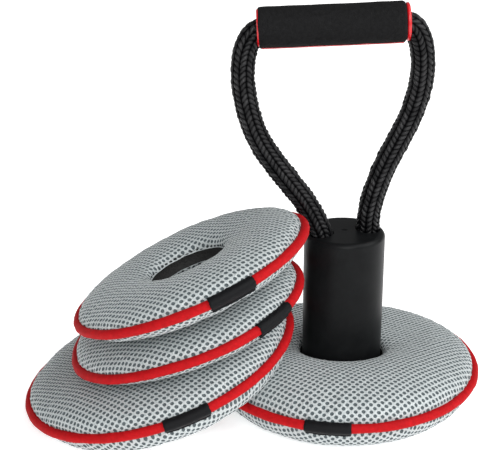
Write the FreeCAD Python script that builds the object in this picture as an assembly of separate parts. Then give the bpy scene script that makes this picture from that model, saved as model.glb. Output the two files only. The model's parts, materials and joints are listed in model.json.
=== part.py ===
import FreeCAD, Part
import math
import os

# An adjustable soft kettlebell: a hollow moulded core with a rope handle stands on a screw-on foot,
# and four sand-filled ring bags, two large and two small, go round it. The core ring is on the core.
# The other large ring leans on it, and the two small ones lie on that ring in a pile.
# Millimetres and degrees. The origin is the middle of the foot on the floor, +Z is up, and +X runs
# along the grip, seen from above. Every ring is drawn level about its own axis, with its piping at height 0, and is
# then tilted and put in its place.

Vector = FreeCAD.Vector
ORIGIN = Vector(0, 0, 0)
UP = Vector(0, 0, 1)

# Driving dimensions: foot, washer and thread
foot_radius = 55.0
foot_thickness = 5.0
foot_edge = 1.5
spigot_radius = 24.0
spigot_wall = 3.5
spigot_height = 17.0
washer_thickness = 1.5
washer_clearance = 0.4
thread_pitch = 6.0
thread_turns = 1.5
thread_depth = 1.6
thread_root_width = 2.4
thread_crest_width = 1.4
thread_clearance = 0.4
thread_lead_in = 4.0

# Driving dimensions: core
core_radius = 31.5
core_wall = 3.2
core_height = 131.6
core_edge = 4.0
collar_height = 22.0
cap_thickness = 7.0
gate_mark_radius = 3.0
gate_mark_depth = 0.6

# Driving dimensions: rope and what holds its ends
rope_radius = 9.0
rope_clearance = 0.5
exit_offset = 19.0
exit_heading = 15.0     # the line through the two rope exits is turned this much from the grip
exit_tilt = 12.0
flex_limit = 35.0
tail_length = 32.0
yoke_height = 26.0
yoke_clearance = 0.3
pin_radius = 2.0
pin_depth = 20.0
screw_radius = 2.0
screw_clearance = 0.2
screw_head_radius = 3.8
screw_head_height = 2.6
screw_offset = 19.0
screw_bite = 5.0
pilot_depth = 5.5

# Centre line of the rope above the core, from above the left exit through the grip to above the right
# exit, as distance along X and height over the top of the core. The loop twists on its way up: it
# starts in line with the exits and ends in line with the grip.
rope_route = [
    (-23.8, 12.5), (-31.8, 27.0), (-44.6, 44.2), (-57.4, 60.8), (-67.4, 76.5), (-73.4, 91.6),
    (-77.2, 106.6), (-79.2, 121.5), (-79.0, 136.5), (-78.1, 150.2), (-70.3, 158.5),
    (44.8, 163.7), (52.6, 155.8), (54.6, 137.0), (54.5, 119.0), (51.8, 103.3), (46.7, 87.5),
    (39.2, 71.4), (31.6, 55.5), (25.2, 39.5), (20.6, 23.3), (18.4, 11.0),
]
top_run = 10            # the run of the route that lies in the grip starts at this point
bend_share = 0.45       # how much of its shorter run each bend of the rope takes

# Driving dimensions: grip
foam_length = 108.0
foam_radius = 15.3
foam_edge = 1.2
foam_slit = 1.6
slit_turn = 18.0
tube_bore = 10.2
tube_wall = 2.0
flange_radius = 14.0
flange_thickness = 3.0
flange_edge = 1.4
flange_sunk = 2.0       # the foam is pushed this far over the left flange
bell_mouth = 3.0
left_end = -68.8        # where the tube starts, along X

# Driving dimensions: what all four ring bags share
hole_radius = 34.0
lining_height = 19.0
fabric = 3.0
liner = 0.8
piping_radius = 3.5
piping_sink = 2.0       # how far the panels' seam lies inside the middle of the piping
seam_height = 0.8
crown_shift = 3.0       # the highest circle lies this much nearer the hole than the middle
lip_fullness = 1.0
side_fullness = 0.9
label_length = 38.0
label_thickness = 0.8
label_wrap = 100.0

# Driving dimensions: how the rings lie
floor_gap = 0.4
pile_gap = 0.4
seat_gap = 0.3
seat_margin = 1.5
seat_step = 10.0
belly_flat = 9.0

# Each ring: radius of its piping, height of its crown over the piping, depth of its belly under it,
# lean of its axis, direction it leans to, and direction of its label.
large_radius = 106.5
small_radius = 90.7
core_ring = {"name": "core_ring", "radius": large_radius, "crown": 18.0, "belly": 23.5,
             "lean": 0.0, "heading": 0.0, "label": 261.0}
lower_ring = {"name": "lower_ring", "radius": large_radius, "crown": 19.0, "belly": 20.3,
              "lean": 16.9, "heading": 187.4, "label": 285.0}
middle_ring = {"name": "middle_ring", "radius": small_radius, "crown": 14.8, "belly": 14.3,
               "lean": 17.6, "heading": 178.3, "label": 320.0}
upper_ring = {"name": "upper_ring", "radius": small_radius, "crown": 14.8, "belly": 14.3,
              "lean": 23.0, "heading": 169.2, "label": 293.0}
lower_ring_bearing = 190.9          # direction from the core to the lower ring
middle_ring_shift = (22.4, -12.0)   # from the middle of the lower ring, seen from above
upper_ring_shift = (5.3, -14.9)     # from the middle of the middle ring, seen from above

# Sizes that follow
spigot_top = foot_thickness + spigot_height
core_bottom = foot_thickness + washer_thickness
core_top = core_bottom + core_height
core_bore = core_radius - core_wall
collar_bore = spigot_radius + thread_depth + thread_clearance
tube_radius = tube_bore + tube_wall
tube_length = foam_length + 2 * flange_thickness - flange_sunk
lip = lining_height / 2
ring_height = core_ring["belly"] + floor_gap

nodes = {}


def turned_about_z(outline):
    """Turns a closed outline, given as edges in the XZ plane, once round Z."""
    wire = Part.Wire(Part.__sortEdges__(outline))
    return Part.Face(wire).revolve(ORIGIN, UP, 360)


def line(start, end):
    """A straight edge between two (radius, height) points."""
    return Part.LineSegment(Vector(start[0], 0, start[1]), Vector(end[0], 0, end[1])).toShape()


def rod(radius, start, end):
    """A round rod from one point to another."""
    return Part.makeCylinder(radius, (end - start).Length, start, end - start)


# Foot: a moulded disc with a hollow threaded spigot, and the rubber washer that it carries

def thread(root_radius, outwards, start_height):
    """One helical ridge on a cylinder of root_radius, standing outwards or inwards."""
    sunk = 0.2
    side = 1 if outwards else -1
    root = root_radius - side * sunk
    crest = root_radius + side * thread_depth
    half_root = thread_root_width / 2
    half_crest = thread_crest_width / 2
    section = Part.makePolygon([
        Vector(root, 0, start_height - half_root),
        Vector(crest, 0, start_height - half_crest),
        Vector(crest, 0, start_height + half_crest),
        Vector(root, 0, start_height + half_root),
        Vector(root, 0, start_height - half_root),
    ])
    helix = Part.makeHelix(thread_pitch, thread_pitch * thread_turns, root_radius)
    helix.translate(Vector(0, 0, start_height))
    return Part.Wire(helix.Edges).makePipeShell([section], True, True)


thread_start = foot_thickness + thread_lead_in
foot_disc = Part.makeCylinder(foot_radius, foot_thickness)
foot_disc = foot_disc.makeFillet(foot_edge, [edge for edge in foot_disc.Edges if len(edge.Vertexes) == 1])
spigot = Part.makeCylinder(spigot_radius, spigot_top)
spigot = spigot.fuse(thread(spigot_radius, True, thread_start))
foot = foot_disc.fuse(spigot)
foot = foot.cut(Part.makeCylinder(spigot_radius - spigot_wall, spigot_height, Vector(0, 0, foot_thickness)))
nodes["base_foot"] = foot

washer_bore = collar_bore + washer_clearance
washer = Part.makeCylinder(core_radius, washer_thickness, Vector(0, 0, foot_thickness))
nodes["rubber_washer"] = washer.cut(Part.makeCylinder(washer_bore, core_bottom))

# Core: a tube with a closed top, a threaded collar inside its lower end, and two holes for the rope.
# It is drawn with its two exits on the X axis and is then turned with all that it holds.

shell = Part.makeCylinder(core_radius, core_height, Vector(0, 0, core_bottom))
top_rim = [edge for edge in shell.Edges if len(edge.Vertexes) == 1 and edge.BoundBox.ZMin > core_bottom + 1]
shell = shell.makeFillet(core_edge, top_rim)
inside_height = core_height - collar_height - cap_thickness
shell = shell.cut(Part.makeCylinder(core_bore, inside_height, Vector(0, 0, core_bottom + collar_height)))
shell = shell.cut(Part.makeCylinder(collar_bore, collar_height, Vector(0, 0, core_bottom)))
gate_sphere = (gate_mark_radius ** 2 + gate_mark_depth ** 2) / (2 * gate_mark_depth)
gate_middle = Vector(0, 0, core_top + gate_sphere - gate_mark_depth)
shell = shell.cut(Part.makeSphere(gate_sphere, gate_middle))


def twisted(along, height):
    """The point of the rope loop at a distance along X and a height over the core."""
    loop_height = rope_route[top_run][1]
    heading = math.radians(exit_heading * max(0, 1 - height / loop_height))
    return Vector(along, along * math.tan(heading), core_top + height)


def turned(vector, angle):
    """A copy of a vector, turned about Z."""
    return FreeCAD.Rotation(UP, angle).multVec(vector)


def exit_point(side):
    """Middle of a rope exit, on the top of the core: side is -1 on the left and 1 on the right."""
    return Vector(side * exit_offset, 0, core_top)


def tail_direction(side):
    """The way that a rope end points below its exit, down and towards the middle."""
    tilt = math.radians(exit_tilt)
    return Vector(-side * math.sin(tilt), 0, -math.cos(tilt))


def leg_direction(side):
    """The way that the rope leaves its exit above the core."""
    nearest = twisted(*rope_route[0]) if side < 0 else twisted(*rope_route[-1])
    return (turned(nearest, -exit_heading) - exit_point(side)).normalize()


def exit_relief(side):
    """The room that a rope end needs in the cap as the handle swings from limit to limit."""
    middle = exit_point(side)
    radius = rope_radius + rope_clearance
    reach = 2 * cap_thickness
    room = Part.makeSphere(radius, middle)
    for flex in (-flex_limit, 0.0, flex_limit):
        leg = rod(radius, middle, middle + leg_direction(side) * reach)
        leg.rotate(middle, Vector(1, 0, 0), flex)
        room = room.fuse(leg)
    return room


yoke_top = core_top - cap_thickness
yoke_bottom = yoke_top - yoke_height
yoke = Part.makeCylinder(core_bore - yoke_clearance, yoke_height, Vector(0, 0, yoke_bottom))
pins = []
for side, name in ((-1, "left"), (1, "right")):
    middle = exit_point(side)
    down = tail_direction(side)
    relief = exit_relief(side)
    shell = shell.cut(relief).cut(rod(rope_radius + rope_clearance, middle, middle + down * tail_length))
    tail = rod(rope_radius, middle + down * (rope_radius + rope_clearance), middle + down * tail_length)
    cross = middle + down * pin_depth
    half_pin = math.sqrt((core_bore - yoke_clearance) ** 2 - (abs(cross.x) + pin_radius) ** 2)
    across = Vector(0, half_pin, 0)
    pin = rod(pin_radius, cross - across, cross + across)
    yoke = yoke.cut(relief).cut(rod(rope_radius, middle, middle + down * 2 * yoke_height)).cut(pin)
    nodes["rope_tail_" + name] = tail.cut(pin)
    pins.append(pin)
nodes["rope_pins"] = Part.makeCompound(pins)

screws = []
for side in (-1, 1):
    foot_of_screw = Vector(0, side * screw_offset, yoke_bottom)
    shank = rod(screw_radius, foot_of_screw, foot_of_screw + UP * (yoke_height + screw_bite))
    head = rod(screw_head_radius, foot_of_screw - UP * screw_head_height, foot_of_screw)
    way = rod(screw_radius + screw_clearance, foot_of_screw, foot_of_screw + UP * yoke_height)
    pilot = rod(screw_radius, foot_of_screw, foot_of_screw + UP * (yoke_height + pilot_depth))
    yoke = yoke.cut(way)
    shell = shell.cut(pilot)
    screws.append(shank.fuse(head).removeSplitter())
nodes["yoke_screws"] = Part.makeCompound(screws)
nodes["rope_yoke"] = yoke
nodes["core_tube"] = shell
for name in ("core_tube", "rope_yoke", "rope_pins", "yoke_screws", "rope_tail_left", "rope_tail_right"):
    nodes[name].rotate(ORIGIN, UP, exit_heading)
core_thread = thread(collar_bore, False, thread_start + thread_pitch / 2)
nodes["core_tube"] = nodes["core_tube"].fuse(core_thread)

# Rope loop: straight runs joined by tangent arcs, with a ball at each end that turns in its exit

exits = [turned(exit_point(side), exit_heading) for side in (-1, 1)]
points = [exits[0]] + [twisted(along, height) for along, height in rope_route] + [exits[1]]
path = []
start = points[0]
for before, corner, after in zip(points, points[1:], points[2:]):
    back = (before - corner).normalize()
    onward = (after - corner).normalize()
    half_turn = (math.pi - back.getAngle(onward)) / 2
    tangent = bend_share * min((before - corner).Length, (after - corner).Length)
    radius = tangent / math.tan(half_turn)
    bisector = (back + onward).normalize()
    arc_middle = corner + bisector * (radius / math.cos(half_turn) - radius)
    arc_start = corner + back * tangent
    arc_end = corner + onward * tangent
    path.append(Part.LineSegment(start, arc_start).toShape())
    path.append(Part.Arc(arc_start, arc_middle, arc_end).toShape())
    print("rope bend at %6.1f %6.1f: radius %.1f" % (corner.x, corner.z, radius))
    start = arc_end
path.append(Part.LineSegment(start, points[-1]).toShape())
route = Part.Wire(path)
section = Part.Wire(Part.makeCircle(rope_radius, points[0], points[1] - points[0]))
rope = route.makePipeShell([section], True, False)
print("rope length %.1f, volume over section %.1f" % (route.Length, rope.Volume / (math.pi * rope_radius ** 2)))
for end in (points[0], points[-1]):
    rope = rope.fuse(Part.makeSphere(rope_radius, end))
nodes["rope_loop"] = rope

# Grip: a tube with a belled flange at each end, and a foam sleeve slit along its underside, pushed
# over the left flange. It is drawn along Z from its left end and is then laid on the rope.

tube = Part.makeCylinder(tube_radius, tube_length)
for base in (0, tube_length - flange_thickness):
    flange = Part.makeCylinder(flange_radius, flange_thickness, Vector(0, 0, base))
    rims = [edge for edge in flange.Edges if len(edge.Vertexes) == 1]
    tube = tube.fuse(flange.makeFillet(flange_edge, rims))
tube = tube.cut(Part.makeCylinder(tube_bore, tube_length))
mouth_radius = tube_bore + bell_mouth
on_arc = bell_mouth * math.sin(math.pi / 4)
for end, inwards in ((0, 1), (tube_length, -1)):
    inner = end + inwards * bell_mouth
    rounding = Part.Arc(Vector(tube_bore, 0, inner),
                        Vector(mouth_radius - on_arc, 0, inner - inwards * on_arc),
                        Vector(mouth_radius, 0, end)).toShape()
    mouth = [rounding, line((mouth_radius, end), (0, end)), line((0, end), (0, inner)),
             line((0, inner), (tube_bore, inner))]
    tube = tube.cut(turned_about_z(mouth))
foam_start = flange_thickness - flange_sunk
foam = Part.makeCylinder(foam_radius, foam_length, Vector(0, 0, foam_start))
foam = foam.makeFillet(foam_edge, [edge for edge in foam.Edges if len(edge.Vertexes) == 1])
slit = Part.makeBox(2 * foam_radius, foam_slit, foam_length, Vector(0, -foam_slit / 2, foam_start))
slit.rotate(ORIGIN, UP, -slit_turn)
foam = foam.cut(slit).cut(Part.makeCylinder(tube_radius, tube_length))
foam = foam.cut(Part.makeCylinder(flange_radius, flange_thickness))
left_of_grip = points[top_run + 1]
along_grip = (points[top_run + 2] - left_of_grip).normalize()
grip_start = left_of_grip + along_grip * ((left_end - left_of_grip.x) / along_grip.x)
for name, piece in (("grip_tube", tube), ("grip_foam", foam)):
    piece.Placement = FreeCAD.Placement(grip_start, FreeCAD.Rotation(UP, along_grip))
    nodes[name] = piece
grip_middle = grip_start + along_grip * tube_length / 2
print("grip middle %.3f %.3f %.3f along %.5f %.5f %.5f" % (*grip_middle, *along_grip))

# Ring bags: two air-mesh panels sewn to a piping, a mesh lining in the hole, and a sealed liner
# with sand inside


def bulge(start, corner, end, fullness):
    """A rounded edge that leaves start and reaches end along the two lines to the corner."""
    curve = Part.BezierCurve()
    curve.setPoles([Vector(x, 0, z) for x, z in (start, corner, end)])
    curve.setWeight(2, fullness)
    return curve.toShape()


def upper_side(ring, inset):
    """The upper face of a bag, inset from its outside, from the lip of the hole to the seam."""
    inner = hole_radius + inset
    outer = ring["radius"] - piping_sink - inset
    crown = ring["crown"] - inset
    top = (hole_radius + ring["radius"] - piping_sink) / 2 - crown_shift
    return [bulge((inner, lip), (inner, crown), (top, crown), lip_fullness),
            bulge((top, crown), (outer, crown), (outer, 0), side_fullness)]


def under_side(ring, inset):
    """The lower face of a bag. That of the core ring is pressed up where it sits on the foot."""
    inner = hole_radius + inset
    outer = ring["radius"] - piping_sink - inset
    belly = inset - ring["belly"]
    low = (hole_radius + ring["radius"] - piping_sink) / 2 - crown_shift
    if ring is not core_ring:
        return [bulge((inner, -lip), (inner, belly), (low, belly), lip_fullness),
                bulge((low, belly), (outer, belly), (outer, 0), side_fullness)]
    seat = foot_thickness + seat_gap - ring_height + inset
    seat_start = (hole_radius + foot_radius) / 2
    seat_end = foot_radius + seat_margin
    step_middle = (seat_end + seat_step / 2, (seat + belly) / 2)
    flat_start = seat_end + seat_step
    flat_end = flat_start + belly_flat
    return [bulge((inner, -lip), (inner, seat), (seat_start, seat), lip_fullness),
            line((seat_start, seat), (seat_end, seat)),
            bulge((seat_end, seat), (seat_end + seat_step / 4, seat), step_middle, lip_fullness),
            bulge(step_middle, (flat_start - seat_step / 4, belly), (flat_start, belly), lip_fullness),
            line((flat_start, belly), (flat_end, belly)),
            bulge((flat_end, belly), (outer, belly), (outer, 0), side_fullness)]


def filled(ring, inset):
    """Everything of a bag that lies deeper than inset."""
    hole_wall = line((hole_radius + inset, -lip), (hole_radius + inset, lip))
    return turned_about_z(upper_side(ring, inset) + under_side(ring, inset) + [hole_wall])


def panel(face, ring):
    """One mesh panel: face is upper_side or under_side."""
    rim = ring["radius"] - piping_sink
    height = lip if face is upper_side else -lip
    outline = face(ring, 0) + face(ring, fabric)
    outline.append(line((hole_radius, height), (hole_radius + fabric, height)))
    outline.append(line((rim - fabric, 0), (rim, 0)))
    return turned_about_z(outline)


def ring_pieces(ring):
    """The seven pieces of a ring bag, level about the origin."""
    radius = ring["radius"]
    half_seam = seam_height / 2
    seam_inside = radius - piping_sink - fabric
    seam = Part.makeCylinder(radius, seam_height, Vector(0, 0, -half_seam))
    seam = seam.cut(Part.makeCylinder(seam_inside, seam_height, Vector(0, 0, -half_seam)))
    piping = Part.makeTorus(radius, piping_radius).fuse(seam)
    lining = Part.makeCylinder(hole_radius + fabric, lining_height, Vector(0, 0, -lip))
    lining = lining.cut(Part.makeCylinder(hole_radius, lining_height, Vector(0, 0, -lip)))
    wrap = math.radians(label_wrap)
    label_arcs = []
    for reach in (piping_radius, piping_radius + label_thickness):
        ends = [(radius + reach * math.cos(turn), reach * math.sin(turn)) for turn in (-wrap, 0, wrap)]
        label_arcs.append([Vector(x, 0, z) for x, z in ends])
    label_edges = [Part.Arc(*arc).toShape() for arc in label_arcs]
    label_edges += [Part.LineSegment(label_arcs[0][end], label_arcs[1][end]).toShape() for end in (0, 2)]
    label_face = Part.Face(Part.Wire(Part.__sortEdges__(label_edges)))
    label_span = math.degrees(label_length / radius)
    label = label_face.revolve(ORIGIN, UP, label_span)
    label.rotate(ORIGIN, UP, ring["label"] - label_span / 2)
    return {
        "top_panel": panel(upper_side, ring).cut(piping),
        "bottom_panel": panel(under_side, ring).cut(piping),
        "piping": piping,
        "hole_lining": lining,
        "inner_liner": filled(ring, fabric).cut(filled(ring, fabric + liner)),
        "sand_fill": filled(ring, fabric + liner),
        "label": label,
    }


def tilted(shape, ring):
    """A copy of a level shape, leaning as the ring leans."""
    heading = math.radians(ring["heading"])
    copy = shape.copy()
    copy.rotate(ORIGIN, Vector(-math.sin(heading), math.cos(heading), 0), ring["lean"])
    return copy


def outside(ring):
    """The ring's outside, tilted, as two plain solids: the filled bag and the piping."""
    piping = Part.makeTorus(ring["radius"], piping_radius + label_thickness)
    return tilted(Part.makeCompound([filled(ring, 0), piping]), ring)


def settled(shape, direction, support, gap):
    """The shape, moved along direction until it lies a gap away from its support."""
    tries = 12
    close = 0.005
    travels = [0.0]
    excesses = [shape.distToShape(support)[0] - gap]
    travels.append(excesses[0])
    for attempt in range(tries):
        moved = shape.translated(direction * travels[-1])
        excesses.append(moved.distToShape(support)[0] - gap)
        if abs(excesses[-1]) < close:
            break
        slope = (excesses[-1] - excesses[-2]) / (travels[-1] - travels[-2])
        travels.append(travels[-1] - excesses[-1] / slope)
    return shape.translated(direction * travels[-1])


def put(ring, place):
    """Makes the nodes of one ring, tilted, with the middle of its piping at place."""
    for piece_name, piece in ring_pieces(ring).items():
        node = tilted(piece, ring)
        node.translate(place)
        nodes[ring["name"] + "_" + piece_name] = node


core_ring_place = Vector(0, 0, ring_height)
core_ring_body = outside(core_ring).translated(core_ring_place)
floor_size = 2000.0
floor = Part.makeBox(floor_size, floor_size, 1, Vector(-floor_size / 2, -floor_size / 2, -1))
down = -UP

# The lower ring stands with its low side on the floor and leans on the core ring.
bearing = math.radians(lower_ring_bearing)
away = Vector(math.cos(bearing), math.sin(bearing), 0)
start_place = away * (core_ring["radius"] + lower_ring["radius"] + 20) + UP * lower_ring["radius"]
lower_body = settled(outside(lower_ring).translated(start_place), down, floor, floor_gap)
lower_body = settled(lower_body, -away, core_ring_body, pile_gap)
lower_place = lower_body.Placement.Base

# The middle ring lies on the lower one, and the upper ring on the middle one.
drop = UP * 2 * lower_ring["radius"]
middle_start = lower_place + Vector(*middle_ring_shift, 0) + drop
middle_body = settled(outside(middle_ring).translated(middle_start), down, lower_body, pile_gap)
middle_place = middle_body.Placement.Base
upper_start = middle_place + Vector(*upper_ring_shift, 0) + drop
upper_body = settled(outside(upper_ring).translated(upper_start), down, middle_body, pile_gap)
upper_place = upper_body.Placement.Base

for ring, place in ((core_ring, core_ring_place), (lower_ring, lower_place), (middle_ring, middle_place),
                    (upper_ring, upper_place)):
    put(ring, place)
    print("%s at %.2f %.2f %.2f" % (ring["name"], place.x, place.y, place.z))

os.makedirs("parts", exist_ok=True)
for name, shape in nodes.items():
    shape.exportStep("parts/" + name + ".step")
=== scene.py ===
import json
import math
import random

import bmesh
import bpy
import numpy as np
from mathutils import Matrix, Vector, noise


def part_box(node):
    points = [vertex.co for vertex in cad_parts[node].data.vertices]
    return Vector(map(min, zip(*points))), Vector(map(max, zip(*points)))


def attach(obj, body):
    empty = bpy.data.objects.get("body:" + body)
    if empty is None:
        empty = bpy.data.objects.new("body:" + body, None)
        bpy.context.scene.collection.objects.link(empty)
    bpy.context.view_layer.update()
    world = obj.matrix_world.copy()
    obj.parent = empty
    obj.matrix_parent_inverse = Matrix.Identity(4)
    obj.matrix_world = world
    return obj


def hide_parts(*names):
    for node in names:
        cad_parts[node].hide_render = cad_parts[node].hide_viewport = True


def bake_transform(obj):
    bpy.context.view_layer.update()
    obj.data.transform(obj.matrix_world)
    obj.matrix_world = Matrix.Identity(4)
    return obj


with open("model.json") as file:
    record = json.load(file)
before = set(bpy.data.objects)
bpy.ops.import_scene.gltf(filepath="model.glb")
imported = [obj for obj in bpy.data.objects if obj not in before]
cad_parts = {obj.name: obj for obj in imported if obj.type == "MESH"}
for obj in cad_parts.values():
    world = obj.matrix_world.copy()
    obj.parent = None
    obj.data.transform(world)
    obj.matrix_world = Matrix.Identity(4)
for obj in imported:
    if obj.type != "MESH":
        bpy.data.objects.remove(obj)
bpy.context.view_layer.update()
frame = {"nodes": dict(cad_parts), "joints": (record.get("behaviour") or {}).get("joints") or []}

# ---------------------------------------------------------------- camera
# One lens a little under a metre away, looking along +Y and down over the rings.
# Metres in the row's own frame; a full-frame back.

eye = Vector((-0.0736, -0.8890, 0.4848))
look_down = 0.3676
lens_mm = 88.35
camera_data = bpy.data.cameras.new("camera")
camera_data.sensor_width = 36
camera_data.lens = lens_mm
camera_data.clip_end = 20
camera = bpy.data.objects.new("camera", camera_data)
camera.location = eye
camera.rotation_euler = (math.pi / 2 - look_down, 0, 0)
bpy.context.scene.collection.objects.link(camera)
bpy.context.scene.camera = camera

# ---------------------------------------------------------------- studio
# A white sweep of floor under soft boxes: large ones at the upper right and in front, one on each side,
# and an even white surround, which leaves only a faint shadow where the bags meet the floor.


def linear(hex_colour, alpha=1.0):
    """An sRGB hex colour as the linear colour that a shader takes."""
    parts = [int(hex_colour[i:i + 2], 16) / 255 for i in (1, 3, 5)]
    return [c / 12.92 if c <= 0.04045 else ((c + 0.055) / 1.055) ** 2.4 for c in parts] + [alpha]


def add(tree, kind, links=(), **settings):
    """Adds a node. Settings name its properties or its input sockets, links are (input, output) pairs."""
    node = tree.nodes.new("ShaderNode" + kind)
    sockets = {}
    for name, value in settings.items():
        if name in node.bl_rna.properties:
            setattr(node, name, value)
        else:
            sockets[name] = value
    for name, value in sockets.items():
        node.inputs[name.replace("_", " ")].default_value = value
    for name, output in links:
        tree.links.new(output, node.inputs[name])
    return node


def material(name):
    """A new material with an empty tree: returns the material, its tree and its output node."""
    made = bpy.data.materials.new(name)
    made.use_nodes = True
    made.node_tree.nodes.clear()
    return made, made.node_tree, add(made.node_tree, "OutputMaterial")


# Seamless paper: matt white, no pattern at this distance but the faintest mottle.
paper, tree, out = material("seamless_paper")
spots = add(tree, "TexNoise", Scale=3.0, Detail=2.0)
tone = add(tree, "ValToRGB", [("Fac", spots.outputs["Fac"])])
tone.color_ramp.elements[0].color = linear("#FBFBFB")
tone.color_ramp.elements[1].color = linear("#FFFFFF")
shader = add(tree, "BsdfPrincipled", [("Base Color", tone.outputs["Color"])], Roughness=0.9,
             Emission_Color=linear("#FFFFFF"), Emission_Strength=0.5)
tree.links.new(shader.outputs["BSDF"], out.inputs["Surface"])

floor_radius = 7.0
shape = bmesh.new()
bmesh.ops.create_circle(shape, cap_ends=True, segments=96, radius=floor_radius)
floor_mesh = bpy.data.meshes.new("floor")
shape.to_mesh(floor_mesh)
shape.free()
floor_mesh.materials.append(paper)
floor = bpy.data.objects.new("floor", floor_mesh)
bpy.context.scene.collection.objects.link(floor)

surround = bpy.data.worlds.new("surround")
surround.use_nodes = True
surround_light = surround.node_tree.nodes["Background"].inputs
surround_light["Color"].default_value = linear("#FFFFFF")
surround_light["Strength"].default_value = 0.26
bpy.context.scene.world = surround
bpy.context.scene.view_settings.view_transform = "Standard"

lit_point = Vector((-0.05, 0.0, 0.1))
for name, tilt, lean, power, spread in (("ceiling", 8, 46, 1.9, 55), ("front", 62, 6, 1.8, 40)):
    glow = bpy.data.lights.new(name, "SUN")
    glow.energy = power
    glow.angle = math.radians(spread)
    lamp = bpy.data.objects.new(name, glow)
    lamp.rotation_euler = (math.radians(tilt), math.radians(lean), 0)
    bpy.context.scene.collection.objects.link(lamp)
for name, place, size, power in (("overhead", (0.25, -0.9, 1.2), 0.8, 3.0),
                                 ("left_box", (-1.3, -0.7, 0.8), 0.5, 1.0),
                                 ("right_box", (1.4, -0.5, 0.8), 0.5, 3.0)):
    box_light = bpy.data.lights.new(name, "AREA")
    box_light.size = size
    box_light.energy = power
    lamp = bpy.data.objects.new(name, box_light)
    lamp.location = place
    aim = lit_point - lamp.location
    lamp.rotation_euler = aim.to_track_quat("-Z", "Y").to_euler()
    bpy.context.scene.collection.objects.link(lamp)

# ---------------------------------------------------------------- foot and core
# The foot, the core tube and the yoke inside it are injection-moulded black ABS with a spark-eroded
# satin skin. The foot screws into the core from below, and a rubber washer is pinched between them.


def bumped(tree, height, distance_mm, strength=1.0):
    """A bump node for a height pattern that stands distance_mm proud."""
    return add(tree, "Bump", [("Height", height)], Strength=strength, Distance=distance_mm / 1000)


def finish_shader(tree, out, colour, bump, **settings):
    """The principled shader of a material, fed by a colour output and a bump, or a plain colour."""
    links = [("Normal", bump.outputs["Normal"])] if bump else []
    if isinstance(colour, bpy.types.NodeSocket):
        links.append(("Base Color", colour))
    else:
        settings["Base_Color"] = colour
    shader = add(tree, "BsdfPrincipled", links, **settings)
    tree.links.new(shader.outputs["BSDF"], out.inputs["Surface"])
    return shader


def ramp(tree, source, stops):
    """A colour ramp over a pattern: stops are (position, hex colour) pairs."""
    node = add(tree, "ValToRGB", [("Fac", source)])
    while len(node.color_ramp.elements) < len(stops):
        node.color_ramp.elements.new(0.5)
    for element, (position, colour) in zip(node.color_ramp.elements, stops):
        element.position = position
        element.color = linear(colour)
    return node.outputs["Color"]


def coordinates(tree):
    """The piece's own coordinates, in metres."""
    return add(tree, "TexCoord").outputs["Object"]


# Moulded ABS, spark-eroded: a deep black with a soft wide highlight and a fine grain of 0.4 mm.
black_abs, tree, out = material("moulded_black_abs")
where = coordinates(tree)
grain = add(tree, "TexNoise", [("Vector", where)], Scale=1 / 0.0008, Detail=3.0, Roughness=0.6)
rubs = add(tree, "TexNoise", [("Vector", where)], Scale=1 / 0.012, Detail=4.0, Roughness=0.7)
shade = ramp(tree, rubs.outputs["Fac"], [(0.35, "#0C0D0E"), (0.7, "#131415")])
dull = add(tree, "MapRange", [("Value", rubs.outputs["Fac"])], To_Min=0.33, To_Max=0.45)
shader = finish_shader(tree, out, shade, bumped(tree, grain.outputs["Fac"], 0.03), IOR=1.5,
                       Specular_IOR_Level=0.10)
tree.links.new(dull.outputs["Result"], shader.inputs["Roughness"])

# Nitrile rubber, die-cut: darker and duller than the moulding, with a fine chalky mottle.
black_rubber, tree, out = material("die_cut_rubber")
where = coordinates(tree)
chalk = add(tree, "TexNoise", [("Vector", where)], Scale=1 / 0.0015, Detail=4.0)
shade = ramp(tree, chalk.outputs["Fac"], [(0.3, "#151515"), (0.75, "#222221")])
finish_shader(tree, out, shade, bumped(tree, chalk.outputs["Fac"], 0.04), Roughness=0.78, IOR=1.52)

# Zinc-plated steel, turned: bright grey with fine rings of the lathe tool.
plated_steel, tree, out = material("zinc_plated_steel")
where = coordinates(tree)
rings = add(tree, "TexNoise", [("Vector", where)], Scale=1 / 0.0006, Detail=2.0)
shade = ramp(tree, rings.outputs["Fac"], [(0.3, "#A9ABAD"), (0.7, "#C6C8C9")])
finish_shader(tree, out, shade, bumped(tree, rings.outputs["Fac"], 0.01), Metallic=1.0, Roughness=0.32)


def dress(node, finish):
    """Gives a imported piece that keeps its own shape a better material."""
    mesh = frame["nodes"][node].data
    if not mesh.materials:
        mesh.materials.append(finish)
    for i in range(len(mesh.materials)):
        mesh.materials[i] = finish


for node in ("base_foot", "core_tube", "rope_yoke"):
    dress(node, black_abs)
dress("rubber_washer", black_rubber)
for node in ("rope_pins", "yoke_screws"):
    dress(node, plated_steel)

# ---------------------------------------------------------------- rope handle
# A black braided polyester rope, 18 mm thick. It rises from two holes in the top of the core, where
# its ends are pinned, opens into a loop and runs through the grip. Ten columns of plump stitches
# go round it, slanting by turns to the left and to the right, so that they meet in chevrons.

rope_radius = 0.0090
core_top = 0.1381
exit_heading = 15.0
exit_offset = 0.0190
loop_height = 0.1585
# distance along X and height over the core, as in the part's own route, with one point added near
# each end of the long straight run inside the grip
rope_points = [
    (-0.0238, 0.0125), (-0.0318, 0.0270), (-0.0446, 0.0442), (-0.0574, 0.0608), (-0.0674, 0.0765),
    (-0.0734, 0.0916), (-0.0772, 0.1066), (-0.0792, 0.1215), (-0.0787, 0.1350), (-0.0762, 0.1470),
    (-0.0695, 0.1565), (-0.0593, 0.1588), (0.0338, 0.1630), (0.0436, 0.1628), (0.0510, 0.1535),
    (0.0546, 0.1370), (0.0545, 0.1190), (0.0518, 0.1033), (0.0467, 0.0875), (0.0392, 0.0714),
    (0.0316, 0.0555), (0.0252, 0.0395), (0.0206, 0.0233), (0.0184, 0.0110),
]


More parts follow.
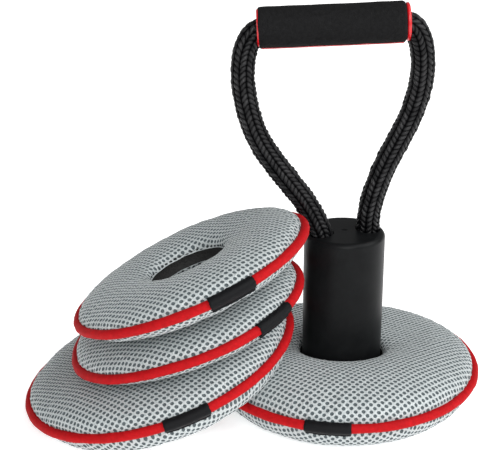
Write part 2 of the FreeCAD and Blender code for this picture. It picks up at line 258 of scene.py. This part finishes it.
def on_loop(along, height):
    """The loop twists on its way up, from the line through its exits to the line of the grip."""
    heading = math.radians(exit_heading * max(0, 1 - height / loop_height))
    return Vector((along, along * math.tan(heading), core_top + height))


turn_out = math.radians(exit_heading)
exits = [Vector((s * exit_offset * math.cos(turn_out), s * exit_offset * math.sin(turn_out), core_top))
         for s in (-1, 1)]
route = [exits[0]] + [on_loop(*point) for point in rope_points] + [exits[1]]
route_curve = bpy.data.curves.new("rope_route", "CURVE")
route_curve.dimensions = "3D"
route_curve.resolution_u = 24
spline = route_curve.splines.new("NURBS")
spline.points.add(len(route) - 1)
for spline_point, place in zip(spline.points, route):
    spline_point.co = (*place, 1)
spline.order_u = 3
spline.use_endpoint_u = True
route_object = bpy.data.objects.new("rope_route", route_curve)
bpy.context.scene.collection.objects.link(route_object)
route_mesh = bpy.data.meshes.new_from_object(route_object)
centre_line = np.array([v.co for v in route_mesh.vertices])
bpy.data.objects.remove(route_object)
bpy.data.meshes.remove(route_mesh)

stitch = 0.0041
columns = 10
stitch_height = 0.0019
steps_per_stitch = 7
points_per_column = 8
smoothed_over = 13          # points of the middle line that each section's place is averaged over
core_share = 0.75           # how much of the stitches' height lies inside the rope's radius
closing_share = 0.55        # the two end rings are this much narrower
slant = 0.55                # stitches that a strand climbs from one side of its column to the other
bow = 0.25                  # stitches that its middle hangs behind
end_roundness = 0.93
side_roundness = 0.95
sink = 0.0035
down_in = centre_line[[0, -1]] - np.array([0, 0, sink])
centre_line = np.concatenate([down_in[:1], centre_line, down_in[1:]])
run = np.concatenate([[0], np.cumsum(np.linalg.norm(np.diff(centre_line, axis=0), axis=1))])
rope_length = run[-1]
rope_steps = int(rope_length / stitch) * steps_per_stitch
shape = bmesh.new()
bmesh.ops.create_grid(shape, x_segments=rope_steps, y_segments=columns * points_per_column, size=0.5)
crest_shade_and_sheen_layer = shape.verts.layers.float.new("crest_shade_and_sheen")
at = np.linspace(0, rope_length, rope_steps + 1)
middle = np.stack([np.interp(at, run, centre_line[:, k]) for k in range(3)], axis=1)
smooth = np.stack([np.convolve(np.pad(middle[:, k], smoothed_over // 2, mode="reflect", reflect_type="odd"),
                               np.ones(smoothed_over) / smoothed_over, mode="valid")
                   for k in range(3)], axis=1)
ahead = np.gradient(smooth, axis=0)
ahead /= np.linalg.norm(ahead, axis=1)[:, None]
side = np.cross(ahead, [0.0, 1.0, 0.0])
side /= np.linalg.norm(side, axis=1)[:, None]
front = np.cross(side, ahead)
random.seed(4)
uneven = {}
for v in shape.verts:
    i = int(round((v.co.x + 0.5) * rope_steps))
    around = (v.co.y + 0.5) * columns
    column = int(math.floor(around + 1e-6)) % columns
    across = 2 * (around - math.floor(around + 1e-6)) - 1
    climb = slant * across * (1 if column % 2 else -1)
    phase = at[i] / stitch + climb + bow * across * across
    number = int(math.floor(phase))
    within = 2 * (phase - number) - 1
    key = (column, number)
    if key not in uneven:
        uneven[key] = random.uniform(0.72, 1.12)
    plump = math.sqrt(1 - end_roundness * within ** 2) * math.sqrt(1 - side_roundness * across ** 2)
    reach = rope_radius - stitch_height * core_share + stitch_height * plump * uneven[key]
    # the stitch's plumpness, stored to paint shade between the stitches and a lighter sheen on their tops
    v[crest_shade_and_sheen_layer] = plump * uneven[key]
    if i in (0, rope_steps):
        reach = rope_radius * closing_share
    angle = 2 * math.pi * (around / columns)
    v.co = Vector(smooth[i] + reach * (math.cos(angle) * side[i] + math.sin(angle) * front[i]))
bmesh.ops.remove_doubles(shape, verts=shape.verts, dist=1e-6)
rims = [e for e in shape.edges if e.is_boundary]
bmesh.ops.holes_fill(shape, edges=rims, sides=0)
bmesh.ops.recalc_face_normals(shape, faces=shape.faces)


def piece(name, shape, finish, smooth=True):
    """Makes a piece of the object from a bmesh, in the scene and with its material."""
    mesh = bpy.data.meshes.new(name)
    shape.to_mesh(mesh)
    shape.free()
    for one in finish if isinstance(finish, (list, tuple)) else [finish]:
        mesh.materials.append(one)
    if smooth:
        mesh.polygons.foreach_set("use_smooth", [True] * len(mesh.polygons))
    made = bpy.data.objects.new(name, mesh)
    bpy.context.scene.collection.objects.link(made)
    return made


# Solution-dyed polyester, braided, with the fine lines of its filaments drawn at 0.35 mm so that they show.
# Its colour is
# painted shade and painted highlight: near black between the stitches and a lighter grey sheen on each plump
# stitch top, with the reflection turned down between the stitches the same way.
black_braid, tree, out = material("braided_polyester")
where = coordinates(tree)
filaments = add(tree, "TexNoise", [("Vector", where)], Scale=1 / 0.0007, Detail=3.0, Distortion=1.0)
crest_shade_and_sheen = add(tree, "Attribute", attribute_name="crest_shade_and_sheen").outputs["Fac"]
# painted shade and highlight: near black between the stitches, lighter grey on their plump tops
shade = ramp(tree, crest_shade_and_sheen, [(0.30, "#020203"), (1.0, "#151517")])
sheen = add(tree, "MapRange", [("Value", crest_shade_and_sheen)], From_Min=0.35, From_Max=1.0, To_Min=0.02, To_Max=0.42)
shader = finish_shader(tree, out, shade, bumped(tree, filaments.outputs["Fac"], 0.30), Roughness=0.32,
                       IOR=1.5)
tree.links.new(sheen.outputs["Result"], shader.inputs["Specular IOR Level"])

rope = piece("rope", shape, black_braid)
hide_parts("rope_loop")
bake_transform(rope)
for node in ("rope_tail_left", "rope_tail_right"):
    dress(node, black_braid)

# ---------------------------------------------------------------- grip
# A glossy red tube turns on the rope, with a belled flange at each end. A sleeve of black EVA foam
# is slit along its underside and pushed on between the flanges.

foam_length = 0.108
foam_radius = 0.0153
foam_bore = 0.0122
foam_rounding = 0.0022
flange_sunk = 0.0010
plain_from_end = 0.006
corner_steps = 5
dent_depth = 0.0004
pore_depth = 0.00012
ragged_end = 0.0006
slit_half = math.radians(3.2)
slit_turn = math.radians(18)
grip_joint = next(j for j in frame["joints"] if j["name"] == "grip_spin")
grip_axis = Vector(grip_joint["axis"])
grip_middle = Vector(grip_joint["pos_m"])

# Moulded ABS, dyed red in the mass: a saturated, glossy red with a clean highlight.
red_abs, tree, out = material("glossy_red_abs")
where = coordinates(tree)
flow = add(tree, "TexNoise", [("Vector", where)], Scale=1 / 0.01, Detail=2.0)
shade = ramp(tree, flow.outputs["Fac"], [(0.3, "#B80E16"), (0.7, "#C9121B")])
finish_shader(tree, out, shade, bumped(tree, flow.outputs["Fac"], 0.03), Roughness=0.22, IOR=1.54)
dress("grip_tube", red_abs)

# EVA foam, sliced from block: matt charcoal with closed cells of about 0.6 mm.
eva_foam, tree, out = material("eva_foam")
where = coordinates(tree)
cells = add(tree, "TexVoronoi", [("Vector", where)], Scale=1 / 0.0009)
pores = add(tree, "TexNoise", [("Vector", where)], Scale=1 / 0.0025, Detail=4.0, Roughness=0.7)
shade = ramp(tree, pores.outputs["Fac"], [(0.3, "#070708"), (0.75, "#161617")])
finish_shader(tree, out, shade, bumped(tree, cells.outputs["Distance"], 0.30, 1.0), Roughness=0.8,
              IOR=1.45, Specular_IOR_Level=0.18)

shape = bmesh.new()
half = foam_length / 2
outline = [(-half + flange_sunk, foam_bore)]
for end in (-1, 1):
    turns = [math.pi / 2 * k / corner_steps for k in range(corner_steps + 1)]
    corner = [(end * (half - foam_rounding + foam_rounding * math.sin(turn)),
               foam_radius - foam_rounding + foam_rounding * math.cos(turn)) for turn in turns]
    outline += corner[::-1] if end < 0 else corner
    if end < 0:
        outline += [(x, foam_radius) for x in np.linspace(-half + plain_from_end, half - plain_from_end, 18)]
outline.append((half, foam_bore))
verts = [shape.verts.new((x, 0, r)) for x, r in outline]
for a, b in zip(verts, verts[1:]):
    shape.edges.new((a, b))
shape.edges.new((verts[-1], verts[0]))
bmesh.ops.spin(shape, geom=shape.verts[:] + shape.edges[:], cent=(0, 0, 0), axis=(1, 0, 0),
               angle=2 * math.pi - 2 * slit_half, steps=72, use_merge=False, use_duplicate=False)
bmesh.ops.remove_doubles(shape, verts=shape.verts, dist=1e-6)
rims = [e for e in shape.edges if e.is_boundary]
bmesh.ops.holes_fill(shape, edges=rims, sides=0)
bmesh.ops.recalc_face_normals(shape, faces=shape.faces)
bmesh.ops.rotate(shape, verts=shape.verts, cent=(0, 0, 0),
                 matrix=Matrix.Rotation(math.pi - slit_half - slit_turn, 3, "X"))
for v in shape.verts:
    out_from_axis = Vector((0, v.co.y, v.co.z))
    if out_from_axis.length > foam_bore + 0.001:
        swell = noise.noise(v.co * 60) * dent_depth + noise.noise(v.co * 260) * pore_depth
        v.co += out_from_axis.normalized() * swell
        v.co.x += noise.noise(v.co * 90 + Vector((5, 0, 0))) * ragged_end * (abs(v.co.x) / half) ** 8
lay_on_rope = Matrix.Translation(grip_middle) @ grip_axis.to_track_quat("X", "Z").to_matrix().to_4x4()
foam_shift = Matrix.Translation(grip_axis * -flange_sunk)
bmesh.ops.transform(shape, matrix=foam_shift @ lay_on_rope, verts=shape.verts)
foam = piece("grip_sleeve", shape, eva_foam)
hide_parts("grip_foam")
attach(foam, "grip")

# The tube's moulded rib fills the slit and stands just proud of the foam, as a thin red line.
rib_width = 0.0013
rib_proud = 0.0005
rib_length = foam_length - 0.004
rib_foot = foam_bore - 0.0004
rib_top = foam_radius + rib_proud
shape = bmesh.new()
bmesh.ops.create_cube(shape, size=1)
bmesh.ops.scale(shape, verts=shape.verts, vec=(rib_length, rib_width, rib_top - rib_foot))
bmesh.ops.translate(shape, verts=shape.verts, vec=(0, 0, (rib_top + rib_foot) / 2))
bmesh.ops.rotate(shape, verts=shape.verts, cent=(0, 0, 0),
                 matrix=Matrix.Rotation(math.pi - 2 * slit_half - slit_turn, 3, "X"))
bmesh.ops.transform(shape, matrix=foam_shift @ lay_on_rope, verts=shape.verts)
rib = piece("grip_rib", shape, red_abs, smooth=False)
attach(rib, "grip")

# ---------------------------------------------------------------- ring bags
# Four bags filled with sand. Each is two rings of grey polyester air mesh, seamed at the outside into
# a red corded piping and folded in at the hole, where a band of black mesh lines it. The fabric is
# cut flat, so that it gathers where it is eased into the shorter seam. The bags lie on the foot, on
# the floor and on one another.

hole_radius = 0.0340
piping_radius = 0.0036
piping_sink = 0.0020
crown_shift = 0.0030
lip_fullness = 1.1
shoulder_fullness = 1.1
under_fullness = 0.9
shoulder = 0.0004
arch_steps = 40
turns_round = 96
rows_each = 14              # rows of the cloth's grid from the lip to the seam
rows_lining = 4             # and through the hole

# Warp-knitted polyester air mesh: pale threads with a soft sheen over cells about 4 mm apart, whose darkness
# is painted shade.
mesh_thread, tree, out = material("air_mesh_thread")
where = coordinates(tree)
fluff = add(tree, "TexNoise", [("Vector", where)], Scale=1 / 0.0009, Detail=3.0, Roughness=0.7)
loops = add(tree, "TexVoronoi", [("Vector", where)], Scale=1 / 0.0011)
shade = ramp(tree, fluff.outputs["Fac"], [(0.28, "#8A9192"), (0.5, "#ABB2B3"), (0.75, "#CFD4D4")])
finish_shader(tree, out, shade, bumped(tree, loops.outputs["Distance"], 0.30, 0.7), Roughness=0.5,
              IOR=1.5, Sheen_Weight=0.15, Sheen_Roughness=0.5)

# The same knit's back, seen down the cells: spacer yarns, coloured dark grey as painted shade for the shadow
# down in the cells.
cell_floor_painted_shade, tree, out = material("air_mesh_cell_painted_shade")
where = coordinates(tree)
yarns = add(tree, "TexNoise", [("Vector", where)], Scale=1 / 0.0011, Detail=2.0)
shade = ramp(tree, yarns.outputs["Fac"], [(0.3, "#3A4245"), (0.7, "#566063")])
finish_shader(tree, out, shade, bumped(tree, yarns.outputs["Fac"], 0.2), Roughness=0.85, IOR=1.5)

# Bias-cut polyester twill round a cord: a strong matt red with a fine diagonal weave, drawn at
# 0.7 mm so that it shows.
red_twill, tree, out = material("red_twill_piping")
where = coordinates(tree)
twill = add(tree, "TexWave", [("Vector", where)], Scale=1 / 0.0022, Distortion=1.5, Detail=2.0)
lint = add(tree, "TexNoise", [("Vector", where)], Scale=1 / 0.0035, Detail=4.0, Roughness=0.7)
shade = ramp(tree, lint.outputs["Fac"], [(0.25, "#94040B"), (0.55, "#AA060F"), (0.8, "#BC0D16")])
finish_shader(tree, out, shade, bumped(tree, twill.outputs["Fac"], 0.10, 0.6), Roughness=0.72,
              IOR=1.5, Specular_IOR_Level=0.15)

# Black polyester mesh of the lining, and black woven satin ribbon of the labels, left bare.
black_mesh, tree, out = material("black_lining_mesh")
where = coordinates(tree)
knit = add(tree, "TexVoronoi", [("Vector", where)], Scale=1 / 0.0016)
shade = ramp(tree, knit.outputs["Distance"], [(0.1, "#050505"), (0.8, "#1B1B1A")])
finish_shader(tree, out, shade, bumped(tree, knit.outputs["Distance"], 0.4), Roughness=0.75, IOR=1.5)

black_ribbon, tree, out = material("woven_ribbon")
where = coordinates(tree)
weft = add(tree, "TexNoise", [("Vector", where)], Scale=1 / 0.0007, Detail=2.0, Roughness=0.8)
shade = ramp(tree, weft.outputs["Fac"], [(0.3, "#050507"), (0.75, "#0C0D10")])
finish_shader(tree, out, shade, bumped(tree, weft.outputs["Fac"], 0.12), Roughness=0.6, IOR=1.5,
              Specular_IOR_Level=0.15)

# Calico of the sealed inner bag, which never shows.
calico, tree, out = material("calico")
where = coordinates(tree)
plain = add(tree, "TexNoise", [("Vector", where)], Scale=1 / 0.0012, Detail=2.0)
shade = ramp(tree, plain.outputs["Fac"], [(0.3, "#8B8F8C"), (0.7, "#A5A9A5")])
finish_shader(tree, out, shade, bumped(tree, plain.outputs["Fac"], 0.1), Roughness=0.8, IOR=1.5)


def arch(start, corner, end, fullness):
    """Points of a rounded edge that leaves start and reaches end along the lines to the corner."""
    t = np.linspace(0, 1, arch_steps + 1)[:, None]
    a, b, c = (1 - t) ** 2, 2 * t * (1 - t) * fullness, t ** 2
    return (a * np.array(start) + b * np.array(corner) + c * np.array(end)) / (a + b + c)


def outline_of(radius, crown, belly, rim, lip):
    """The bag's section from the lip, at radius rim and height lip, to the seam, above and below."""
    outer = radius - piping_sink
    top = (hole_radius + outer) / 2 - crown_shift
    sides = []
    for height in (crown, -belly):
        edge = math.copysign(lip, height)
        fullness = shoulder_fullness if height > 0 else under_fullness
        inner = arch((rim, edge), (rim, height), (top, height), lip_fullness)
        side = arch((top, height), (outer, height), (outer, 0), fullness)
        if height > 0:
            side[:, 0] += shoulder * np.sin(math.pi * np.linspace(0, 1, arch_steps + 1) ** 2)
        line = np.concatenate([inner, side[1:]])
        length = np.concatenate([[0], np.cumsum(np.linalg.norm(np.diff(line, axis=0), axis=1))])
        sides.append((line, length))
    return sides


class Bag:
    """A ring bag's shape: its section turned round its axis, and how far the cloth moved from it."""

    def __init__(self, name, radius, crown, belly, label, rim, lip, droop=(0, 0)):
        self.name, self.radius, self.label = name, radius, math.radians(label)
        self.rim, self.lip, self.droop = rim, lip, droop
        self.sides = outline_of(radius, crown, belly, rim, lip)
        low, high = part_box(name + "_piping")
        self.middle = (low + high) / 2
        around = np.array([v.co for v in frame["nodes"][name + "_piping"].data.vertices])
        flattest = np.linalg.svd(around - around.mean(axis=0), full_matrices=False)[2][2]
        self.axis = Vector(flattest if flattest[2] > 0 else -flattest)
        lean = self.axis.angle(Vector((0, 0, 1)))
        heading = math.atan2(self.axis.y, self.axis.x)
        hinge = Vector((-math.sin(heading), math.cos(heading), 0))
        self.place = Matrix.Translation(self.middle) @ Matrix.Rotation(lean, 4, hinge)
        self.moved = [np.zeros((turns_round, rows_each + 1, 3)) for side in (0, 1)]

    def at(self, side, along, angle):
        """Points of the upper (0) or under (1) side, for arrays of cloth length from the lip and angle."""
        line, length = self.sides[side]
        rho = np.interp(along, length, line[:, 0])
        height = np.interp(along, length, line[:, 1])
        row = np.clip(along / length[-1], 0, 1) * rows_each
        turn = (angle / (2 * math.pi) * turns_round) % turns_round
        i, j = np.floor(turn).astype(int) % turns_round, np.minimum(np.floor(row).astype(int), rows_each - 1)
        u, w = (turn - np.floor(turn))[:, None], (row - j)[:, None]
        moved = self.moved[side]
        ahead = (i + 1) % turns_round
        shift = ((1 - u) * (1 - w) * moved[i, j] + u * (1 - w) * moved[ahead, j]
                 + (1 - u) * w * moved[i, j + 1] + u * w * moved[ahead, j + 1])
        return np.stack([rho * np.cos(angle), rho * np.sin(angle), height], axis=1) + shift

    def length(self, side):
        return self.sides[side][1][-1]


def skin_of(bag):
    """The bag's whole skin as one closed, even grid, with each point's turn and row round the section."""
    rows = 2 * rows_each + rows_lining
    shape = bmesh.new()
    bmesh.ops.create_grid(shape, x_segments=turns_round, y_segments=rows, size=0.5)
    turn_layer = shape.verts.layers.int.new("turn")
    row_layer = shape.verts.layers.int.new("row")
    for v in shape.verts:
        turn = int(round((v.co.x + 0.5) * turns_round)) % turns_round
        row = int(round((v.co.y + 0.5) * rows)) % rows
        v[turn_layer], v[row_layer] = turn, row
        angle = np.array([2 * math.pi * turn / turns_round])
        if row <= rows_each:
            place = bag.at(0, np.array([bag.length(0) * row / rows_each]), angle)[0]
        elif row <= 2 * rows_each:
            place = bag.at(1, np.array([bag.length(1) * (2 * rows_each - row) / rows_each]), angle)[0]
        else:
            height = -bag.lip + 2 * bag.lip * (row - 2 * rows_each) / rows_lining
            place = np.array([bag.rim * math.cos(angle[0]), bag.rim * math.sin(angle[0]), height])
        v.co = Vector(place)
    bmesh.ops.remove_doubles(shape, verts=shape.verts, dist=1e-6)
    bmesh.ops.recalc_face_normals(shape, faces=shape.faces)
    return shape, turn_layer, row_layer


inner_gap = 0.0034


def inner_bag(bag):
    """The sealed bag of sand, a little smaller than the skin all round."""
    shape = skin_of(bag)[0]
    shape.normal_update()
    for v, normal in [(v, v.normal.copy()) for v in shape.verts]:
        v.co -= normal * inner_gap
    lay(bag, shape)
    return piece(bag.name + "_sand_bag", shape, calico)


unevenness = 0.0002
sim_steps = 20


def swollen(bag, cap, seed):
    """Blows the bag's skin up a little with cloth simulation, held at the seam and the lip."""
    shape, turn_layer, row_layer = skin_of(bag)
    rest = np.array([v.co for v in shape.verts])
    turn_of = np.array([v[turn_layer] for v in shape.verts])
    row_of = np.array([v[row_layer] for v in shape.verts])
    rng = np.random.default_rng(seed)
    mesh = bpy.data.meshes.new("skin")
    shape.to_mesh(mesh)
    shape.free()
    skin = bpy.data.objects.new("skin", mesh)
    bpy.context.scene.collection.objects.link(skin)
    held = skin.vertex_groups.new(name="held")
    for k in range(len(rest)):
        fixed = row_of[k] == rows_each or row_of[k] >= 2 * rows_each or row_of[k] == 0
        held.add([k], 1.0 if fixed else 0.0, "REPLACE")
    jitter = rng.normal(0, unevenness, rest.shape)
    mesh.vertices.foreach_set("co", (rest + jitter).ravel())
    cloth = skin.modifiers.new("cloth", "CLOTH")
    cloth.settings.quality = 5
    cloth.settings.use_pressure = True
    cloth.settings.uniform_pressure_force = 3.0
    cloth.settings.effector_weights.gravity = 0
    cloth.settings.vertex_group_mass = "held"
    cloth.settings.shrink_min = -0.008
    cloth.settings.bending_stiffness = 0.5
    cloth.point_cache.frame_start, cloth.point_cache.frame_end = 1, sim_steps
    for step in range(1, sim_steps + 1):
        bpy.context.scene.frame_set(step)
    done = skin.evaluated_get(bpy.context.evaluated_depsgraph_get()).to_mesh()
    after = np.array([v.co for v in done.vertices])
    bpy.context.scene.frame_set(1)
    shift = after - rest
    size = np.linalg.norm(shift, axis=1)
    shift *= (np.minimum(size, cap) / np.maximum(size, 1e-9))[:, None]
    bpy.data.objects.remove(skin)
    for side in (0, 1):
        table = np.zeros((turns_round, rows_each + 1, 3))
        for k in range(len(rest)):
            row = row_of[k] if side == 0 else 2 * rows_each - row_of[k]
            if 0 <= row <= rows_each:
                table[turn_of[k], row] = shift[k]
        bag.moved[side] += table


def settle(bag, side, heading, down, outward, near_seam):
    """Sand that has run to or from one part of the bag: moves its cloth down and outward there."""
    turn = 2 * math.pi * np.arange(turns_round) / turns_round
    share = np.maximum(np.cos(turn - math.radians(heading)), 0)
    row = np.arange(rows_each + 1) / rows_each
    amount = share[:, None] * np.sin(math.pi * row ** near_seam)[None, :]
    bag.moved[side][:, :, 0] += outward * amount * np.cos(turn)[:, None]
    bag.moved[side][:, :, 1] += outward * amount * np.sin(turn)[:, None]
    bag.moved[side][:, :, 2] -= down * amount


def lay(bag, shape):
    """Lays a piece of the bag in its place, where the bag's free edge droops."""
    heading, droop = bag.droop
    edge = Vector((math.cos(math.radians(heading)), math.sin(math.radians(heading)), 0))
    for v in shape.verts:
        v.co.z -= droop * max(0, v.co.dot(edge) / bag.radius) ** 2
    bmesh.ops.transform(shape, matrix=bag.place, verts=shape.verts)


cell = 0.00395
stretch = 1.08
strand = 0.00066
hole_depth = 0.0006
cell_wall = 0.00022
tuck = 0.0012               # cloth turned in at the hole
eased_in = 1.15             # the flat cloth is cut this much larger than the panel
pucker_pitch = 0.0065
pucker = 0.0007
pucker_from = 7             # the puckers die away from the seam with this power of the way


def air_mesh(bag, side, turned):
    """One panel: a flat lattice of cells, cut to a ring and eased over the bag from lip to seam."""
    length = bag.length(side)
    outer = bag.rim + length
    count = int(2 * outer * eased_in / cell)
    shape = bmesh.new()
    bmesh.ops.create_grid(shape, x_segments=count, y_segments=count, size=count * cell / 2)
    bmesh.ops.rotate(shape, verts=shape.verts, cent=(0, 0, 0), matrix=Matrix.Rotation(math.pi / 4, 3, "Z"))
    bmesh.ops.scale(shape, verts=shape.verts, vec=(stretch, 1 / stretch, 1))
    bmesh.ops.rotate(shape, verts=shape.verts, cent=(0, 0, 0), matrix=Matrix.Rotation(turned, 3, "Z"))
    spare = [f for f in shape.faces
             if not bag.rim - tuck < f.calc_center_median().xy.length < outer + 0.0005]
    bmesh.ops.delete(shape, geom=spare, context="FACES")
    for v in shape.verts:
        if v.is_boundary:
            reach = bag.rim - tuck if v.co.xy.length < (bag.rim + outer) / 2 else outer
            v.co *= reach / v.co.xy.length
    first = bmesh.ops.inset_individual(shape, faces=shape.faces[:], thickness=strand, depth=0)
    cells_open = [f for f in shape.faces if f not in set(first["faces"])]
    bmesh.ops.inset_individual(shape, faces=cells_open, thickness=cell_wall, depth=-hole_depth)
    threads = set(first["faces"])
    # the sunk cells take the second material, coloured dark as painted shade
    for f in shape.faces:
        f.material_index = 0 if f in threads else 1
    flat = np.array([v.co for v in shape.verts])
    flat_radius = np.linalg.norm(flat[:, :2], axis=1)
    angle = np.arctan2(flat[:, 1], flat[:, 0])
    along = np.clip(flat_radius - bag.rim, 0, length)
    step = 0.0015
    here = bag.at(side, along, angle)
    lower_along = np.maximum(along - step, 0)
    upper_along = np.minimum(along + step, length)
    down = bag.at(side, upper_along, angle) - bag.at(side, lower_along, angle)
    turn_step = 0.01
    round_it = bag.at(side, along, angle + turn_step) - bag.at(side, along, angle - turn_step)
    normal = np.cross(down, round_it) * (1 if side == 0 else -1)
    normal /= np.linalg.norm(normal, axis=1)[:, None]
    over_lip = np.maximum(bag.rim - flat_radius, 0)
    height = flat[:, 2]
    eased = (along / length) ** pucker_from
    folds = 2 * math.pi * bag.radius / pucker_pitch
    own_noise = bag.radius * 40 + side
    drift = np.array([noise.noise(Vector((math.cos(a), math.sin(a), own_noise)) * 3) for a in angle])
    height = height + pucker * eased * np.sin(round(folds) * angle + 5 * drift)
    here = here + normal * height[:, None]
    here[:, 2] -= over_lip * (1 if side == 0 else -1)
    for v, place in zip(shape.verts, here):
        v.co = Vector(place)
    if side == 1:
        bmesh.ops.reverse_faces(shape, faces=shape.faces)
    lay(bag, shape)
    name = bag.name + ("_top_mesh" if side == 0 else "_bottom_mesh")
    panel = piece(name, shape, (mesh_thread, cell_floor_painted_shade))
    soften = panel.modifiers.new("soften", "SUBSURF")
    soften.levels = soften.render_levels = 1
    return panel


lumps = 0.10


def piping(bag):
    """The corded piping round the seam, a little lumpy where the twill is gathered."""
    shape = bmesh.new()
    section = Matrix.Translation((bag.radius, 0, 0)) @ Matrix.Rotation(math.pi / 2, 4, "X")
    bmesh.ops.create_circle(shape, segments=14, radius=piping_radius, matrix=section)
    bmesh.ops.spin(shape, geom=shape.verts[:] + shape.edges[:], cent=(0, 0, 0), axis=(0, 0, 1),
                   angle=2 * math.pi, steps=300, use_merge=True)
    bmesh.ops.remove_doubles(shape, verts=shape.verts, dist=1e-6)
    bmesh.ops.recalc_face_normals(shape, faces=shape.faces)
    for v in shape.verts:
        flat = v.co.xy.normalized()
        core = Vector((flat.x * bag.radius, flat.y * bag.radius, 0))
        out_from_core = v.co - core
        swell = 1 + lumps * (noise.noise(v.co * 55 + Vector((bag.radius * 900, 0, 0)))
                             + 0.5 * noise.noise(v.co * 170))
        v.co = core + out_from_core * swell
    lay(bag, shape)
    return piece(bag.name + "_cord", shape, red_twill)


ribbon_width = 0.0340
ribbon_thickness = 0.0006
ribbon_from = math.radians(115)
ribbon_to = math.radians(-100)
ribbon_tail = 0.0025
fray = 0.0005


def ribbon(bag):
    """A short piece of ribbon folded over the piping, with its ends sewn in behind it."""
    shape = bmesh.new()
    bmesh.ops.create_grid(shape, x_segments=20, y_segments=18, size=0.5)
    over = piping_radius + ribbon_thickness
    arc = over * (ribbon_from - ribbon_to)
    for v in shape.verts:
        across = v.co.x * ribbon_width / bag.radius
        travel = (v.co.y + 0.5) * (arc + ribbon_tail)
        ragged = fray * noise.noise(Vector((v.co.x * 30, v.co.y * 30, bag.radius * 50)))
        turn = ribbon_from - min(travel, arc) / over
        rho = bag.radius + over * math.cos(turn)
        height = over * math.sin(turn) - max(0, travel - arc)
        angle = bag.label + across * (1 + ragged / 0.02)
        v.co = Vector((rho * math.cos(angle), rho * math.sin(angle), height + ragged))
    bmesh.ops.recalc_face_normals(shape, faces=shape.faces)
    lay(bag, shape)
    made = piece(bag.name + "_ribbon", shape, black_ribbon)
    thick = made.modifiers.new("thick", "SOLIDIFY")
    thick.thickness = ribbon_thickness
    thick.offset = 0
    return made


lining_gap = 0.0002
lining_bulge = 0.0012
lining_thickness = 0.0012
lining_thread = 0.0009
lining_over = 0.0005


def lining(bag):
    """The band of black mesh in the hole."""
    shape = bmesh.new()
    bmesh.ops.create_grid(shape, x_segments=64, y_segments=5, size=0.5)
    for v in shape.verts:
        angle, height = 2 * math.pi * v.co.x, v.co.y * 2 * (bag.lip + lining_over)
        rho = bag.rim + lining_gap + lining_bulge * math.cos(math.pi * v.co.y)
        v.co = Vector((rho * math.cos(angle), rho * math.sin(angle), height))
    bmesh.ops.remove_doubles(shape, verts=shape.verts, dist=1e-6)
    bmesh.ops.recalc_face_normals(shape, faces=shape.faces)
    bmesh.ops.reverse_faces(shape, faces=shape.faces)
    bmesh.ops.inset_individual(shape, faces=shape.faces[:], thickness=lining_thread, depth=0)
    lay(bag, shape)
    made = piece(bag.name + "_lining", shape, black_mesh)
    thick = made.modifiers.new("thick", "SOLIDIFY")
    thick.thickness = lining_thickness
    thick.offset = -1
    return made


bags = [
    Bag("core_ring", 0.1065, 0.0180, 0.0235, 261.0, 0.0336, 0.0095),
    Bag("lower_ring", 0.1065, 0.0190, 0.0203, 285.0, 0.0305, 0.0060, droop=(120, 0.0050)),
    Bag("middle_ring", 0.0907, 0.0148, 0.0143, 320.0, 0.0305, 0.0060, droop=(190, 0.0070)),
    Bag("upper_ring", 0.0907, 0.0148, 0.0143, 293.0, 0.0300, 0.0055),
]
# for each heap: side, heading, how far down and outward, and how near the seam
settled = {
    "core_ring": [(0, 90, 0.0080, 0, 1), (0, 270, -0.0065, 0, 0.5), (1, 270, 0.0035, 0.0010, 4)],
    "lower_ring": [(0, 140, 0.0090, 0, 1), (1, 280, 0.0055, 0.0003, 4)],
    "middle_ring": [(0, 180, 0.0020, 0, 2)],
    "upper_ring": [(0, 180, 0.0035, 0, 2)],
}
cloth_turned = (2, -3, 4, -6)       # degrees that each bag's cloth is turned in its cutting
swell_cap = 0.0016
first_seed = 11
for number, bag in enumerate(bags):
    swollen(bag, swell_cap, seed=first_seed + number)
    for heap in settled[bag.name]:
        settle(bag, *heap)
    for side in (0, 1):
        panel = air_mesh(bag, side, math.radians(cloth_turned[number]))
        part = "_top_panel" if side == 0 else "_bottom_panel"
        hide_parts(bag.name + part)
        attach(panel, bag.name)
    cord = piping(bag)
    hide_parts(bag.name + "_piping")
    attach(cord, bag.name)
    tag = ribbon(bag)
    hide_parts(bag.name + "_label")
    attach(tag, bag.name)
    band = lining(bag)
    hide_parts(bag.name + "_hole_lining")
    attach(band, bag.name)
    filling = inner_bag(bag)
    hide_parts(bag.name + "_inner_liner", bag.name + "_sand_fill")
    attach(filling, bag.name)
